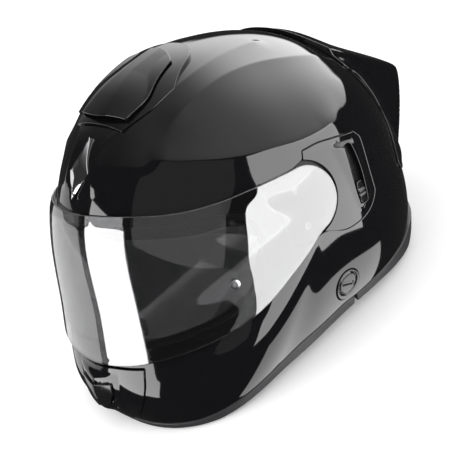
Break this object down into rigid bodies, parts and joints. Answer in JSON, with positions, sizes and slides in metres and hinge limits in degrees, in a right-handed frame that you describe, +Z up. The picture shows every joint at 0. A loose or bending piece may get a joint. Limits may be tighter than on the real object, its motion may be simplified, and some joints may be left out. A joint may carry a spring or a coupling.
{
  "type": "motorcycle helmet",
  "caption": "Full-face road helmet in gloss black with a hinged tinted visor, inner sun visor, sliding crown vent, rear spoiler and buckled chin strap.",
  "frame": {"origin": "centre of the bounding box's bottom, on the surface the helmet stands on", "axes": "+Z up, the face opening looks along -Y, +X is the wearer's left"},
  "size_m": [0.2562, 0.3522, 0.233],
  "materials": {
    "gloss_shell": "clear-coated gloss black",
    "trim": "dark grey soft trim",
    "rubber": "black rubber",
    "smoke_lens": "dark tinted polycarbonate, hard coated",
    "sun_lens": "brown tinted polycarbonate",
    "steel": "plated steel",
    "badge_chrome": "bright chrome",
    "black_plastic": "fine-textured black plastic",
    "foam": "expanded polystyrene foam, painted dark",
    "lining": "brushed knit lining",
    "webbing": "woven webbing",
    "lever_red": "red moulded plastic"
  },
  "bodies": {
    "shell": {"outer_shell": "gloss_shell", "eyeport_gasket": "rubber", "intercom_cap": "black_plastic", "forehead_badge": "badge_chrome", "rear_spoiler": "gloss_shell", "top_vent_base": "gloss_shell", "chin_vent_housing": "gloss_shell", "bottom_trim_front": "trim", "bottom_trim_rear": "trim", "impact_liner": "foam", "chin_liner": "foam", "crown_pad": "lining", "neck_roll": "lining", "breath_guard": "black_plastic", "chin_curtain": "lining", "ratchet_strap": "black_plastic", "buckle_body": "steel", "buckle_axle": "steel", "side_plate_left": "gloss_shell", "hinge_plate_left": "black_plastic", "hinge_screw_upper_left": "steel", "hinge_screw_lower_left": "steel", "spoiler_screw_left": "steel", "sun_visor_pin_left": "steel", "cheek_pad_left": "lining", "strap_anchor_left": "steel", "chin_strap_left": "webbing", "side_plate_right": "gloss_shell", "hinge_plate_right": "black_plastic", "hinge_screw_upper_right": "steel", "hinge_screw_lower_right": "steel", "spoiler_screw_right": "steel", "sun_visor_pin_right": "steel", "cheek_pad_right": "lining", "strap_anchor_right": "steel", "chin_strap_right": "webbing"},
    "visor": {"visor": "smoke_lens", "pinlock_lens": "smoke_lens", "pinlock_pin_left": "steel", "pinlock_pin_right": "steel"},
    "sun_visor": {"sun_visor": "sun_lens"},
    "sun_visor_slider": {"slider_knob": "black_plastic", "slider_carriage": "black_plastic"},
    "top_vent_slider": {"top_vent_cover": "gloss_shell"},
    "chin_vent_slider": {"chin_vent_cover": "gloss_shell"},
    "buckle_lever": {"buckle_lever": "lever_red"}
  },
  "joints": [
    {"name": "visor_hinge", "type": "hinge", "parent": "shell", "child": "visor", "pos_m": [0, 0.0031, 0.11], "axis": [-1, 0, 0], "range_deg": [0, 50]},
    {"name": "sun_visor_hinge", "type": "hinge", "parent": "shell", "child": "sun_visor", "pos_m": [0, -0.0259, 0.098], "axis": [1, 0, 0], "range_deg": [0, 38]},
    {"name": "slider_slide", "type": "slide", "parent": "shell", "child": "sun_visor_slider", "axis": [-0.0876, 0.1782, 0.9801], "range_m": [0, 0.026]},
    {"name": "top_vent_slide", "type": "slide", "parent": "shell", "child": "top_vent_slider", "axis": [0, 0.9397, 0.3419], "range_m": [0, 0.008]},
    {"name": "chin_vent_slide", "type": "slide", "parent": "shell", "child": "chin_vent_slider", "axis": [0, -0.26, -0.9656], "range_m": [0, 0.007]},
    {"name": "buckle_lever_hinge", "type": "hinge", "parent": "shell", "child": "buckle_lever", "pos_m": [0.046, 0.0081, 0.0106], "axis": [0, -1, 0], "range_deg": [0, 25], "stiffness_Nm_per_rad": 0.02}
  ],
  "couplings": [
    {"joint": "slider_slide", "follows": "sun_visor_hinge", "m_per_rad": 0.039202}
  ]
}
